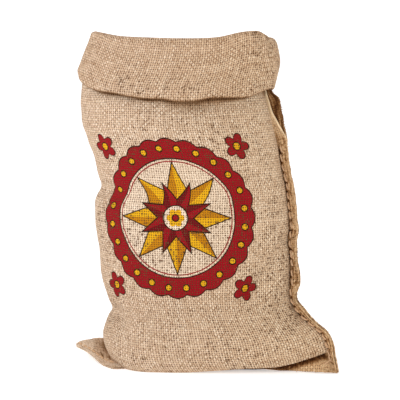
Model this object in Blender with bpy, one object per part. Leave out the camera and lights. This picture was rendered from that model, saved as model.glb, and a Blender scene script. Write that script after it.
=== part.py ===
"""A burlap sack that stands open: one cloth, its mouth rolled down in a cuff, sewn at the right and below."""

import bmesh
import bpy
import numpy as np
from mathutils import Vector

MM = 0.001
CENTRE = Vector((-1.3, 0.95, 0))  # middle of the whole sack's box, in the tables' own x and y
SHEET = 2.2  # cloth thickness of the solid
COLUMNS = 60  # columns round the sack: the fold is column 0, the seam is half way
SIDE_GAP = 1.75  # least half distance between the two panels where they run into the seam
SQUARE = 2.3  # how boxy the sections are, 2 is an ellipse
ALLOWANCE = 12.5  # cloth outside the side stitches
STRIP_THICK = 3.2  # two layers of cloth, pressed flat
RIM_ROWS = 4
CUFF_ROWS = 4
TURN_ROWS = 3
TUCK_ROWS = 3
CUFF_STAND = 9.5  # from the wall's middle to the cuff's middle at the rim
TUCK_STAND = 4.4  # from the wall's middle to the tucked cloth's middle

# Sections of the wall from the floor up, in mm: nominal height, x of the left fold, x and y of the side seam,
# y of the front and back, the shares of the width at which they lie, and how both run into the seam: 0.45 is
# round, 1 a wedge and more a thin tail.
WALL = {
    "height": (0, 5, 12, 21, 31, 44, 57, 70, 86, 104, 124, 144, 164, 180, 197, 212, 230, 250, 270, 288, 302,
               312, 322, 340, 356),
    "fold": (-97, -106, -112, -116, -117, -114, -109, -111, -116, -119, -121, -123, -124.5, -124, -119, -122, -126,
             -132, -138, -141, -140, -136, -132, -126, -120),
    "seam": (131, 132, 132.5, 130.2, 125, 113.5, 101, 94.5, 92, 92, 92, 91, 89.5, 87.5, 85, 82, 79, 75.5, 70.5, 65.5,
             63.5, 64.5, 66, 66, 63),
    "seamY": (-46, -47, -47, -47, -46, -43, -36, -29, -23, -19, -17, -16, -15, -14, -13, -12, -11, -10, -8, -6,
              -4, -2, 0, 0, 0),
    "front": (-69, -71.5, -72.5, -73, -74, -74, -73, -72, -72, -73, -74, -74, -74, -73, -72, -72, -72, -71, -69,
              -66, -63, -61, -59, -57, -56),
    "back": (62, 68, 71, 74, 76, 76, 75, 74, 74, 75, 75, 75, 74, 73, 72, 72, 71, 70, 69, 67, 64, 62, 61, 59, 57),
    "frontAt": (0.2, 0.22, 0.26, 0.3, 0.34, 0.37, 0.4, 0.43, 0.45, 0.46, 0.47, 0.48, 0.48, 0.48, 0.48, 0.48,
                0.48, 0.48, 0.48, 0.48, 0.5, 0.5, 0.5, 0.5, 0.5),
    "backAt": (0.42, 0.42, 0.42, 0.42, 0.43, 0.44, 0.46, 0.48, 0.5, 0.5, 0.5, 0.5, 0.5, 0.5, 0.5, 0.5, 0.5, 0.5,
               0.5, 0.5, 0.5, 0.5, 0.5, 0.5, 0.5),
    "frontEnd": (1.1, 1.0, 0.92, 0.84, 0.78, 0.7, 0.64, 0.6, 0.58, 0.56, 0.55, 0.55, 0.55, 0.55, 0.55, 0.55,
                 0.55, 0.54, 0.52, 0.5, 0.47, 0.45, 0.44, 0.44, 0.44),
    "backEnd": (1.15, 1.15, 1.12, 1.08, 1.0, 0.85, 0.7, 0.6, 0.57, 0.56, 0.55, 0.55, 0.55, 0.55, 0.55, 0.55,
                0.55, 0.54, 0.52, 0.5, 0.47, 0.45, 0.44, 0.44, 0.44),
}

# Height of the bottom stitches along the right ear: they leave the floor and climb to the corner.
EAR_X = (-200, -15, 15, 50, 72, 82, 95, 112, 124, 134)
EAR_Z = (0, 0, 1.5, 3.6, 4.3, 5.2, 8, 13.5, 17.5, 21.5)
EAR_FADE = 70  # above this height the rows are level again
EAR_BACK = 15  # behind this y the base lies on the floor
EAR_SLOPE = 45  # from there the base climbs to the stitches over this depth

# The rolled mouth, at shares of the way round from the fold by the front to the seam (0.5) and back: height of
# the rim, of the cuff's lower edge, of the raw edge tucked inside it, and how far the lower edge stands off.
MOUTH = {
    "place": (0.0, 0.04, 0.10, 0.16, 0.22, 0.28, 0.34, 0.39, 0.43, 0.47, 0.50, 0.56, 0.66, 0.78, 0.90, 1.0),
    "rim": (364, 367.5, 365.5, 362.5, 361.5, 361.5, 363, 366, 368, 366.5, 362, 357, 353, 351, 356, 364),
    "edge": (321, 318, 310, 303, 299, 297, 297, 301, 304, 305, 305, 304, 302, 302, 311, 321),
    "tuck": (344, 343, 342, 341, 340, 340, 341, 342, 343, 344, 342, 334, 328, 326, 334, 344),
    "belly": (9, 9.5, 11, 12, 13, 13.5, 13.5, 13, 12.5, 12.5, 12.5, 12, 11, 11, 10.5, 9),
}

# Soft dents and swells, in mm: side (-1 front, 1 back, 0 both), ends of its line in x and height, width, depth.
DENTS = (
    (-1, -126, 199, -92, 190, 9, -3.5),
    (-1, -112, 60, -84, 52, 8, -3.0),
    (-1, -98, 62, -86, 22, 8, -2.5),
    (-1, 50, 84, 90, 136, 11, -2.2),
    (-1, 66, 300, 80, 236, 9, 1.5),
    (-1, -30, 262, 18, 258, 18, 2.5),
    (1, -90, 214, 40, 188, 14, -4.0),
    (1, -60, 118, 70, 140, 16, 3.0),
    (1, -20, 70, 62, 40, 12, -3.0),
    (1, -112, 260, -40, 284, 12, -3.0),
)

# The strip of cloth outside the side stitches: row height, how far its edge turns to the front, in degrees.
STRIP_HEIGHT = (20, 60, 110, 180, 235, 262, 306)
STRIP_TURN = (40, 42, 46, 47, 30, -12, -25)

# Lower edge of the strip under the bottom stitches of the right ear: x of the stitches, x, y of the edge.
BOTTOM_STRIP = ((121, 130, -54), (108, 115, -52), (95, 98, -49), (84, 84, -46), (72, 71, -42))
EAR_TIP = (147, -55, 0.3)

# The left ear, a flat corner of doubled cloth, in mm: its upper edge is the fold, its lower one the stitches.
FLAP_FOLD = ((-150, 6, 12), (-144, 9, 15.6), (-134, 12, 18), (-120, 14, 19), (-100, 12, 17), (-80, 6, 12), (-62, 0, 6))
FLAP_SEWN = ((-148, 3, 11), (-139, -11, 8.6), (-127, -29, 5), (-113, -46, 2.2), (-98, -59, 1.5), (-82, -66, 1.5),
             (-62, -64, 2.2))
FLAP_THICK = (3.2, 3.8, 4.2, 4.4, 4.4, 4.2, 4.2)
FLAP_ACROSS = 5


def smooth(x, xs, ys):
    """Cubic through the table, with the slopes of its neighbours, so that it does not overshoot."""
    x, xs, ys = np.clip(np.asarray(x, float), xs[0], xs[-1]), np.asarray(xs, float), np.asarray(ys, float)
    step = np.diff(ys) / np.diff(xs)
    slope = np.concatenate([step[:1], (step[1:] + step[:-1]) / 2, step[-1:]])
    slope[1:-1] = np.where(step[1:] * step[:-1] <= 0, 0, slope[1:-1])
    i = np.clip(np.searchsorted(xs, x) - 1, 0, len(xs) - 2)
    width = xs[i + 1] - xs[i]
    t = (x - xs[i]) / width
    return (
        ys[i] * (1 + 2 * t) * (1 - t) ** 2
        + ys[i + 1] * t * t * (3 - 2 * t)
        + slope[i] * width * t * (1 - t) ** 2
        - slope[i + 1] * width * t * t * (1 - t)
    )


def ramp(x, low, high):
    t = np.clip((np.asarray(x, float) - low) / (high - low), 0, 1)
    return t * t * (3 - 2 * t)


def section(height, places):
    """The wall's level outline at one nominal height, at shares of the way round, as x and y."""
    row = {name: float(smooth(height, WALL["height"], values)) for name, values in WALL.items()}
    width = row["seam"] - row["fold"]
    x = row["fold"] + width * (1 - np.cos(np.linspace(0, np.pi, 400))) / 2
    out = np.empty((len(places), 2))
    for side, sign in (("front", -1), ("back", 1)):
        extreme, at, end = row[side], row["fold"] + width * row[side + "At"], row[side + "End"]
        left = np.clip((at - x) / (at - row["fold"]), 0, 1)
        right = np.clip((x - at) / (row["seam"] - at), 0, 1)
        y = np.where(
            x < at,
            extreme * (1 - left**SQUARE) ** (1 / SQUARE),
            row["seamY"] + (extreme - row["seamY"]) * (1 - right**2) ** end,
        )
        near = np.clip((row["seam"] - x) / (2 * SIDE_GAP), 0, 1)
        y += sign * SIDE_GAP * np.sqrt(1 - (1 - near) ** 2) * ramp(right, 0, 0.8)
        length = np.concatenate([[0], np.cumsum(np.hypot(np.diff(x), np.diff(y)))])
        mine = places <= 0.5 if side == "front" else places > 0.5
        share = 2 * places[mine] if side == "front" else 2 * (1 - places[mine])
        for k, values in enumerate((x, y)):
            out[mine, k] = np.interp(share * length[-1], length, values)
    return out


def round_normals(outline):
    """Outward directions of a closed level outline."""
    along = np.roll(outline, -1, axis=0) - np.roll(outline, 1, axis=0)
    out = np.stack([along[:, 1], -along[:, 0]], axis=1)
    return out / np.linalg.norm(out, axis=1)[:, None]


def dented(points, outward):
    """The wall pushed in or out along its level normals by the soft dents."""
    push = np.zeros(len(points))
    for side, x0, z0, x1, z1, width, depth in DENTS:
        start, line = np.array((x0, z0)), np.array((x1 - x0, z1 - z0))
        flat = points[:, [0, 2]] - start
        share = np.clip(flat @ line / (line @ line), 0, 1)
        away = np.linalg.norm(flat - share[:, None] * line, axis=1)
        facing = 1.0 if side == 0 else np.clip(0.35 + side * outward[:, 1], 0, 1)
        push += depth * np.exp(-((away / width) ** 2)) * facing
    moved = points.copy()
    moved[:, :2] += outward * push[:, None]
    return moved


def wall_row(height, places):
    """One row of the wall's middle surface, with its outward directions."""
    outline = section(height, places)
    outward = round_normals(outline)
    rim = smooth(places, MOUTH["place"], MOUTH["rim"])
    z = np.full(len(places), SHEET / 2 + height)
    rise = smooth(outline[:, 0], EAR_X, EAR_Z) * np.clip((EAR_BACK - outline[:, 1]) / EAR_SLOPE, 0, 1)
    z += rise * (1 - np.clip(height / EAR_FADE, 0, 1))
    top = WALL["height"][-1]
    z += (rim - CUFF_STAND / 2 - SHEET - top) * np.clip((height - 250) / (top - 250), 0, 1)
    points = np.column_stack([outline, z])
    if height > 8:
        points = dented(points, outward)
    return points, outward


def sheet_rows(places):
    """Rows of the middle surface from the floor up the wall, over the rim, down the cuff and up inside it."""
    heights = WALL["height"][:-1]
    rows = [wall_row(h, places)[0] for h in heights]
    top, outward = wall_row(WALL["height"][-1], places)
    rows.append(top)
    rim = smooth(places, MOUTH["place"], MOUTH["rim"])
    edge = smooth(places, MOUTH["place"], MOUTH["edge"])
    tuck = smooth(places, MOUTH["place"], MOUTH["tuck"])

    def offset(stand, z):
        return np.column_stack([top[:, :2] + outward * np.reshape(stand, (-1, 1)), z])

    radius = CUFF_STAND / 2
    centre = rim - SHEET / 2 - radius
    for angle in np.linspace(0, np.pi, RIM_ROWS + 2)[1:]:
        rows.append(offset(np.full(len(places), radius * (1 - np.cos(angle))), centre + radius * np.sin(angle)))
    # Below the rim the cuff follows the wall behind it, which widens downwards.
    belly = smooth(places, MOUTH["place"], MOUTH["belly"])
    turn = (belly - TUCK_STAND) / 2
    low = edge + SHEET / 2 + turn

    def beside(stand, z):
        points = np.empty((len(places), 3))
        for i, level in enumerate(z):
            height = np.clip(level - (centre[i] - WALL["height"][-1]), 296, WALL["height"][-1])
            outline = section(height, places)
            out = round_normals(outline)
            points[i, :2] = outline[i] + out[i] * stand[i]
            points[i, 2] = level
        return points

    for k in range(1, CUFF_ROWS + 1):
        share = k / CUFF_ROWS
        rows.append(beside(CUFF_STAND + (belly - CUFF_STAND) * share**0.7, centre + (low - centre) * share))
    for angle in np.linspace(0, np.pi, TURN_ROWS + 2)[1:]:
        rows.append(beside(belly - turn * (1 - np.cos(angle)), low - turn * np.sin(angle)))
    for k in range(1, TUCK_ROWS + 1):
        rows.append(beside(np.full(len(places), TUCK_STAND), low + (tuck - low) * k / TUCK_ROWS))
    return np.array(rows)


def grid_normals(rows):
    """Directions square to the middle surface. The floor row's point straight down."""
    around = np.roll(rows, -1, axis=1) - np.roll(rows, 1, axis=1)
    up = np.empty_like(rows)
    up[1:-1] = rows[2:] - rows[:-2]
    up[0] = rows[1] - rows[0]
    up[-1] = rows[-1] - rows[-2]
    normals = np.cross(around, up)
    normals /= np.linalg.norm(normals, axis=2)[..., None]
    normals[0] = (0, 0, -1)
    for _ in range(2):
        beside = np.roll(normals, 1, axis=1) + np.roll(normals, -1, axis=1)
        normals[1:-1] += 0.5 * beside[1:-1] + 0.25 * (normals[2:] + normals[:-2])
        normals[1:-1] /= np.linalg.norm(normals[1:-1], axis=2)[..., None]
    return normals


def closed_mesh(name, points, faces):
    """A mesh object in metres from points in mm."""
    mesh = bpy.data.meshes.new(name)
    mesh.from_pydata([(Vector(p) - CENTRE) * MM for p in points], [], faces)
    shell = bmesh.new()
    shell.from_mesh(mesh)
    bmesh.ops.remove_doubles(shell, verts=shell.verts, dist=1e-6)
    bmesh.ops.triangulate(shell, faces=shell.faces)
    bmesh.ops.recalc_face_normals(shell, faces=shell.faces)
    shell.to_mesh(mesh)
    shell.free()
    made = bpy.data.objects.new(name, mesh)
    bpy.context.scene.collection.objects.link(made)
    return made


def thick_sheet(name, rows):
    """The sack's cloth as one closed solid: its outer and inner skins, the base between them, the raw edge."""
    normals = grid_normals(rows)
    count, columns = rows.shape[:2]
    outer = rows + normals * SHEET / 2
    inner = rows - normals * SHEET / 2
    points = np.concatenate([outer.reshape(-1, 3), inner.reshape(-1, 3)])
    faces = []
    for skin in (0, count * columns):
        for j in range(count - 1):
            for i in range(columns):
                k = (i + 1) % columns
                quad = [skin + j * columns + i, skin + j * columns + k]
                quad += [skin + (j + 1) * columns + k, skin + (j + 1) * columns + i]
                faces.append(quad if skin == 0 else quad[::-1])
        for i in range(columns // 2):
            ladder = [skin + n for n in (i, (columns - i) % columns, columns - i - 1, i + 1)]
            ladder = list(dict.fromkeys(ladder))
            faces.append(ladder if skin == 0 else ladder[::-1])
    last = (count - 1) * columns
    for i in range(columns):
        k = (i + 1) % columns
        faces.append([last + i, last + k, count * columns + last + k, count * columns + last + i])
    return closed_mesh(name, points, faces)


def strip_solid(name, stations, thick):
    """A flat strip swept through stations, each with its inner edge, outer edge and the way its face looks."""
    points, faces = [], []
    for inner, outer, facing in stations:
        half = np.asarray(facing, float) / np.linalg.norm(facing) * thick / 2
        for edge, side in ((inner, 1), (outer, 1), (outer, -1), (inner, -1)):
            points.append(np.asarray(edge, float) + half * side)
    for j in range(len(stations) - 1):
        for i in range(4):
            k = (i + 1) % 4
            faces.append([4 * j + i, 4 * j + k, 4 * j + 4 + k, 4 * j + 4 + i])
    faces.append([0, 1, 2, 3])
    end = 4 * (len(stations) - 1)
    faces.append([end + 3, end + 2, end + 1, end])
    return closed_mesh(name, points, faces)


def seam_stations(rows):
    """Stations of the strip down the side seam, round the corner of the ear and along its lower edge."""
    seam = rows[:, COLUMNS // 2]
    heights = np.array(WALL["height"])
    stations = []
    for h in (304, 291, 276, 262, 248, 234, 218, 200, 180, 160, 140, 120, 104, 88, 76, 66, 57, 49, 41, 33, 26, 18, 10):
        place = np.array([np.interp(h, heights, seam[: len(heights), k]) for k in range(3)])
        ahead = np.array([np.interp(h - 2, heights, seam[: len(heights), k]) for k in range(3)])
        behind = np.array([np.interp(h + 2, heights, seam[: len(heights), k]) for k in range(3)])
        along = (ahead - behind) / np.linalg.norm(ahead - behind)
        out = np.cross(along, (0, 1, 0))
        out /= np.linalg.norm(out)
        turn = np.radians(smooth(h, STRIP_HEIGHT, STRIP_TURN))
        side = np.cross(along, out)
        direction = out * np.cos(turn) - side * np.sin(turn) * np.sign(side[1])
        stations.append((place - out * 2.0, place + direction * ALLOWANCE, np.cross(along, direction)))
    corner = seam[0]
    tip = np.array(EAR_TIP)
    stations.append((corner + (-1, 0, 1), tip, (0.25, -1, 0)))
    for x, edge_x, edge_y in BOTTOM_STRIP:
        z = float(smooth(x, EAR_X, EAR_Z)) + SHEET / 2
        column = int(np.argmin(np.abs(rows[0, : COLUMNS // 2, 0] - x)))
        y = rows[0, column, 1]
        stations.append(((x, y + 1.5, z + 1.5), (edge_x, edge_y, 0.2), (0, -1, 0)))
    return stations


def flap_solid(name):
    """The left ear as one flat tapering corner, its root inside the sack."""
    top, under = [], []
    for fold, sewn, thick in zip(FLAP_FOLD, FLAP_SEWN, FLAP_THICK):
        a, b = np.array(fold, float), np.array(sewn, float)
        for k in range(FLAP_ACROSS):
            t = k / (FLAP_ACROSS - 1)
            middle = a + (b - a) * t
            half = thick / 2 * (0.55 + 0.45 * np.sqrt(max(0.0, 1 - (2 * t - 1) ** 2)))
            top.append(middle + (0, 0, half))
            under.append(np.array((middle[0], middle[1], max(0.15, middle[2] - half))))
    count = len(FLAP_FOLD)
    points = top + under
    faces = []
    for skin in (0, len(top)):
        for j in range(count - 1):
            for i in range(FLAP_ACROSS - 1):
                a = skin + j * FLAP_ACROSS + i
                quad = [a, a + 1, a + FLAP_ACROSS + 1, a + FLAP_ACROSS]
                faces.append(quad if skin else quad[::-1])
    ring = list(range(FLAP_ACROSS))
    ring += [j * FLAP_ACROSS + FLAP_ACROSS - 1 for j in range(1, count)]
    ring += [(count - 1) * FLAP_ACROSS + i for i in range(FLAP_ACROSS - 2, -1, -1)]
    ring += [j * FLAP_ACROSS for j in range(count - 2, 0, -1)]
    for i, a in enumerate(ring):
        b = ring[(i + 1) % len(ring)]
        faces.append([a, b, b + len(top), a + len(top)])
    return closed_mesh(name, points, faces)


def burlap():
    material = bpy.data.materials.new("burlap")
    material.use_nodes = True
    shader = material.node_tree.nodes["Principled BSDF"]
    shader.inputs["Base Color"].default_value = (0.50, 0.36, 0.23, 1)
    shader.inputs["Roughness"].default_value = 0.95
    return material


def joined(body, other):
    """The other solid added to the body by an exact union, and kept out of the render."""
    cut = body.modifiers.new("join " + other.name, "BOOLEAN")
    cut.operation = "UNION"
    cut.solver = "EXACT"
    cut.object = other
    other.hide_render = True
    other.display_type = "WIRE"


def main():
    for old in list(bpy.data.objects):
        bpy.data.objects.remove(old, do_unlink=True)
    places = np.arange(COLUMNS) / COLUMNS
    rows = sheet_rows(places)
    sack = thick_sheet("sack_cloth", rows)
    sack.data.materials.append(burlap())
    joined(sack, strip_solid("seam_allowance", seam_stations(rows), STRIP_THICK))
    joined(sack, flap_solid("left_ear"))
    print("sack in mm:", rows.reshape(-1, 3).min(axis=0).round(1), rows.reshape(-1, 3).max(axis=0).round(1))


main()
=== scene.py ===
import math
import random

import bmesh
import bpy
import numpy as np
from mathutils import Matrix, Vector, noise


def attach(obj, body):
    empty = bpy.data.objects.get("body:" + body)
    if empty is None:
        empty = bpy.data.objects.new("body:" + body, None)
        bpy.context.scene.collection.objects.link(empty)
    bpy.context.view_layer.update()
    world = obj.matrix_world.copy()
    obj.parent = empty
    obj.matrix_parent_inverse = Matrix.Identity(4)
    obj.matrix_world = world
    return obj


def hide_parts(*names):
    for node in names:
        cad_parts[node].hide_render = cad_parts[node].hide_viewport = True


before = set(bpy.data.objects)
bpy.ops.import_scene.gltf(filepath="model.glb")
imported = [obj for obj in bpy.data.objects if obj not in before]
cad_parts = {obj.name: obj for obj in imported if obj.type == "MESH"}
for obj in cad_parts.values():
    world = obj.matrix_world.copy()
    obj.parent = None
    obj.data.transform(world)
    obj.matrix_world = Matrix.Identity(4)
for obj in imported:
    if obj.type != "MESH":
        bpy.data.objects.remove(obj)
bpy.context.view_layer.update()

mm = 0.001
uvName = "cloth"
toneName = "tone"  # of each point: down to -1 for painted shade in hollows and shadows, up to 1 for a painted highlight on a ridge and for paler cloth

# The cloth, in mm: how its grid is divided, and what does not change round the sack.
sack = {
    "columns": 196,  # all the way round, from the side seam
    "baseRows": 14,
    "footRows": 9,
    "wallBands": ((20, 280, 92), (280, 318, 30), (318, 356, 14)),  # from, to and rows
    "rimRows": 7,
    "cuffRows": 24,
    "turnRows": 7,
    "tuckRows": 10,
    "cloth": 1.3,
    "solid": 2.2,  # the solid's cloth is thicker
    "panel": 285,  # width of one panel, between the fold and the side stitches
    "middle": (-1.3, 0.95, 0.0),  # middle of the sack's box in the tables' x and y
    "sideGap": 1.75,  # from the side stitches to the front, and to the back
    "square": 2.3,  # 2 makes the folded side an ellipse
    "foot": 20,
    "settled": 40,  # above this the wall stands clear of the floor
    "mouthFrom": 250,  # above this it stretches to meet the rim
    "top": 356,
    "cuffStand": 9.5,  # from the wall to the cuff, at the rim
    "cuffSections": (290, 34),  # level sections behind the cuff: the lowest, and how many
    "cuffLowest": 296,
    "tuckStand": 4.4,  # from the wall to the turned-in hem
    "evenHeight": 181,  # the weft runs level here
    "flat": (0.60, 0.56),
}
upperEnds = (0.55,) * 7 + (0.54, 0.52, 0.5, 0.47, 0.45, 0.44, 0.44, 0.44)
# Level sections of the wall, from the floor up: x of the fold and the seam, y of the seam, front and back,
# the shares of the width at which front and back lie, and how they run into the seam.
wall = {
    "height": (0, 5, 12, 21, 31, 44, 57, 70, 86, 104, 124, 144, 164, 180, 197, 212, 230, 250, 270, 288, 302,
               312, 322, 340, 356),
    "fold": (-101, -107, -112, -116, -117, -114, -109, -111, -116, -119, -121, -123, -124.5, -124, -119, -122,
             -126, -133.5, -139.5, -139.5, -138.5, -137.5, -134, -127, -120),
    "seam": (137, 137, 134.5, 132.5, 128.5, 118.5, 104.5, 95.5, 92, 92, 92, 91, 90, 88.5, 86.5, 83, 79.5, 75,
             69.5, 65, 62, 62.2, 64.8, 68, 66),
    "seamY": (-46, -47, -47, -47, -46, -43, -36, -29, -23, -19, -17, -16, -15, -14, -13, -12, -11, -10, -8,
              -6, -4, -2, 0, 0, 0),
    "front": (-69, -71.5, -72.5, -73, -74, -74, -73, -72, -72, -73, -74, -74, -74, -73, -72, -72, -72, -71,
              -69, -66, -63, -61, -59, -57, -56),
    "back": (62, 68, 71, 74, 76, 76, 75, 74, 74, 75, 75, 75, 74, 73, 72, 72, 71, 70, 69, 67, 64, 62, 61, 59,
             57),
    "frontAt": (0.2, 0.22, 0.26, 0.3, 0.34, 0.37, 0.4, 0.43, 0.45, 0.46, 0.47) + (0.48,) * 9 + (0.5,) * 5,
    "backAt": (0.42, 0.42, 0.42, 0.42, 0.43, 0.44, 0.46, 0.48) + (0.5,) * 17,
    "frontEnd": (1.1, 1, 0.92, 0.84, 0.78, 0.7, 0.64, 0.6, 0.58, 0.56) + upperEnds,
    "backEnd": (1.15, 1.15, 1.12, 1.08, 1, 0.85, 0.7, 0.6, 0.57, 0.56) + upperEnds,
}
# The rolled mouth, at shares of the way round from the fold by the front to the seam, 0.5, and back.
places = (0, 0.04, 0.1, 0.16, 0.22, 0.28, 0.34, 0.39, 0.43, 0.465, 0.5, 0.56, 0.66, 0.78, 0.9, 1)
shadePlaces = (0, 0.03, 0.06, 0.1, 0.14, 0.17, 0.22, 0.25, 0.29, 0.32, 0.345, 0.385, 0.41, 0.45, 0.5, 0.6, 1)
mouth = {
    # height of the raw edge inside the hem, and how far the cuff's lower edge stands off
    "tuck": (places, (344, 343, 342, 341, 340, 340, 341, 342, 343, 344, 342, 334, 328, 326, 334, 344)),
    "belly": (places, (9, 9.5, 11, 12, 13, 13.5, 13.5, 13, 12.5, 12, 11.2, 11.5, 11, 11, 10.5, 9)),
    "rim": (
        (0, 0.035, 0.07, 0.12, 0.18, 0.26, 0.34, 0.39, 0.425, 0.445, 0.46, 0.475, 0.5, 0.56, 0.66, 0.78,
         0.9, 1),
        (364.5, 368, 367, 364, 362.8, 362, 363.4, 368.6, 369.6, 365.8, 362.2, 361.8, 358.4, 356, 353, 351,
         356, 364.5),
    ),
    "edge": (
        (0, 0.04, 0.07, 0.1, 0.125, 0.15, 0.18, 0.22, 0.25, 0.28, 0.31, 0.34, 0.37, 0.41, 0.44, 0.47,
         0.5, 0.56, 0.66, 0.78, 0.9, 1),
        (328, 320, 311, 305.4, 303, 301.9, 299.1, 296.6, 296.4, 293.8, 294.2, 297.2, 297.6, 297, 301.6,
         304.6, 303, 302, 302, 302, 314, 328),
    ),
    # the shadow that the edge throws on the wall: how dark, and how far down
    "shade": (shadePlaces, (0.25, 0.3, 0.5, 0.7, 0.75, 0.45, 0.75, 0.6, 0.5, 0.62, 0.7, 0.7, 0.45, 0.3, 0.7,
                            0.5, 0.25)),
    "shadeReach": (shadePlaces, (1.4, 1.4, 1.4, 2, 1.9, 1.5, 1.9, 3.2, 8, 8.2, 7, 4, 1.9, 2.6, 9,
                                 2.6, 1.4)),
}
# The right ear's stitches leave the floor and climb to the corner.
ear = {
    "rise": ((-200, -40, -15, 15, 50, 72, 82, 95, 112, 124, 134),
             (0, 0, 0.5, 2.6, 5.0, 5.8, 6.6, 9.2, 14, 17.8, 21.5)),
    "fade": 70,
    "back": 15,
    "slope": 45,
}
# The bottom stitches under the base, at shares of the way from fold to seam.
bottomSeam = {
    # how far behind the front edge they run
    "inset": ((0, 0.16, 0.22, 0.285, 0.36, 0.44, 0.51, 0.58, 0.66, 0.72, 0.78, 0.86, 0.95, 1.0),
              (1.5, 1.5, 5, 14, 18, 21, 23, 20, 14, 11, 9.5, 8.5, 5.5, 1.0)),
    "lift": 2.5,  # the cloth rises over the allowance that lies under it
    "lifted": (-7, 11),  # middle and width of that rise, behind the stitches
    "liftStart": (0.16, 0.3),
    "liftEnd": (0.66, 0.8),
}
# Soft dents and creases: side (-1 front, 1 back), ends of the line in x and z, width and depth.
dents = (
    (-1, -126, 199, -92, 190, 9, -3.5),
    (-1, -112, 60, -84, 52, 8, -3.0),
    (-1, -98, 62, -86, 22, 8, -3.6),
    (-1, 50, 84, 90, 136, 11, -3.6),
    (-1, 66, 300, 80, 236, 9, 1.5),
    (-1, -30, 258, 14, 256, 17, 4.0),
    (-1, 62, 15, 122, 29, 8, 2.2),
    (1, -90, 214, 40, 188, 12, -5.0),
    (1, -60, 118, 70, 140, 14, 4.0),
    (1, -20, 76, 62, 40, 11, -4.5),
    (1, -112, 260, -40, 284, 11, -4.5),
    (1, 20, 262, 62, 214, 9, -3.5),
)
creases = (
    (-1, -98, 66, -42, 60, 5, -1.0),
    (-1, -92, 50, -80, 36, 4, -1.2),
    (-1, 54, 92, 92, 142, 6, -1.6),
    (-1, -118, 206, -70, 203, 6, 0.9),
    (-1, 40, 283, 62, 250, 6, -0.9),
    (-1, -60, 286, 10, 290, 8, -1.2),
    (-1, 96, 62, 122, 30, 6, -0.9),
    (1, -100, 160, -20, 170, 6, -2.0),
    (1, 0, 230, 58, 252, 6, -1.6),
    (1, -60, 44, 20, 34, 6, -1.6),
    (1, -104, 96, -60, 60, 6, -1.8),
)
# How uneven the cloth lies between them.
uneven = {
    # slow swells, ripples more level than upright, and the slack of single threads:
    # size across and up and depth in mm, then shifts across and in depth, and lean
    "waves": ((52, 38, 1.5, 0, 0, 0), (21, 13, 0.8, 9, 0, 0.02), (6.5, 5.5, 0.22, 0, 4, 0)),
    "grows": (6, 42),  # from this height to this one
    "atSeam": 0.3,
    "seamShare": 0.05,
}
# Painted shade, in tone and in mm: the shadow below the cuff's edge, a darker line beside the side stitches,
# and the dark inside the hem.
paintedShade = {
    "drop": 0.9,  # the shade starts this far below the cuff's edge
    "core": (1.1, 0.17),  # reach of its darker part: a length, and a share of the whole reach
    "coreShare": 0.4,
    "zone": (250, 25),  # it lies above this height, and no further than this above the edge
    "seam": (0.2, 2.6, 270),  # tone, reach and top of the painted shade beside the stitches
    "hem": (0.9, 3),  # tone of the painted shade inside the hem, and rows in which it sets in
}


def smooth(x, xs, ys):
    # a cubic through the table with the slopes of its neighbours
    x, xs, ys = np.clip(np.asarray(x, float), xs[0], xs[-1]), np.asarray(xs, float), np.asarray(ys, float)
    step = np.diff(ys) / np.diff(xs)
    slope = np.concatenate([step[:1], (step[1:] + step[:-1]) / 2, step[-1:]])
    slope[1:-1] = np.where(step[1:] * step[:-1] <= 0, 0, slope[1:-1])
    i = np.clip(np.searchsorted(xs, x) - 1, 0, len(xs) - 2)
    width = xs[i + 1] - xs[i]
    t = (x - xs[i]) / width
    return (
        ys[i] * (1 + 2 * t) * (1 - t) ** 2
        + ys[i + 1] * t * t * (3 - 2 * t)
        + slope[i] * width * t * (1 - t) ** 2
        - slope[i + 1] * width * t * t * (1 - t)
    )


def ramp(x, low, high):
    t = np.clip((np.asarray(x, float) - low) / (high - low), 0, 1)
    return t * t * (3 - 2 * t)


def hump(x, middle, width):
    return np.exp(-(((x - middle) / width) ** 2))


def lengthAlong(points):
    return np.concatenate([[0], np.cumsum(np.linalg.norm(np.diff(points, axis=0), axis=1))])


def unit(v):
    return v / np.maximum(np.linalg.norm(v, axis=-1, keepdims=True), 1e-9)


def section(height, places):
    # the wall's level outline, at shares of the way round from the fold by the front
    row = {name: smooth(height, wall["height"], values) for name, values in wall.items()}
    width = row["seam"] - row["fold"]
    x = row["fold"] + width * (1 - np.cos(np.linspace(0, np.pi, 500))) / 2
    out = np.empty((len(places), 2))
    for side, sign in (("front", -1), ("back", 1)):
        extreme, at, end = row[side], row["fold"] + width * row[side + "At"], row[side + "End"]
        left = np.clip((at - x) / (at - row["fold"]), 0, 1)
        right = np.clip((x - at) / (row["seam"] - at), 0, 1)
        y = np.where(
            x < at,
            extreme * (1 - left ** sack["square"]) ** (1 / sack["square"]),
            row["seamY"] + (extreme - row["seamY"]) * (1 - right**2) ** end,
        )
        near = np.clip((row["seam"] - x) / (2 * sack["sideGap"]), 0, 1)
        y += sign * sack["sideGap"] * np.sqrt(1 - (1 - near) ** 2) * ramp(right, 0, 0.8)
        length = np.concatenate([[0], np.cumsum(np.hypot(np.diff(x), np.diff(y)))])
        mine = places <= 0.5 if side == "front" else places > 0.5
        share = 2 * places[mine] if side == "front" else 2 * (1 - places[mine])
        for k, values in enumerate((x, y)):
            out[mine, k] = np.interp(share * length[-1], length, values)
    return out


def outwardOf(outline):
    along = np.roll(outline, -1, axis=0) - np.roll(outline, 1, axis=0)
    return unit(np.stack([along[:, 1], -along[:, 0]], axis=1))


def pressed(points, outward, marks):
    # the wall moved in or out along its level normals by soft dents
    push = np.zeros(len(points))
    for side, x0, z0, x1, z1, width, depth in marks:
        start, line = np.array((x0, z0)), np.array((x1 - x0, z1 - z0))
        flat = points[:, [0, 2]] - start
        share = np.clip(flat @ line / (line @ line), 0, 1)
        away = np.linalg.norm(flat - share[:, None] * line, axis=1)
        push += depth * hump(away, 0, width) * np.clip(0.35 + side * outward[:, 1], 0, 1)
    moved = points.copy()
    moved[:, :2] += outward * push[:, None]
    return moved


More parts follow.
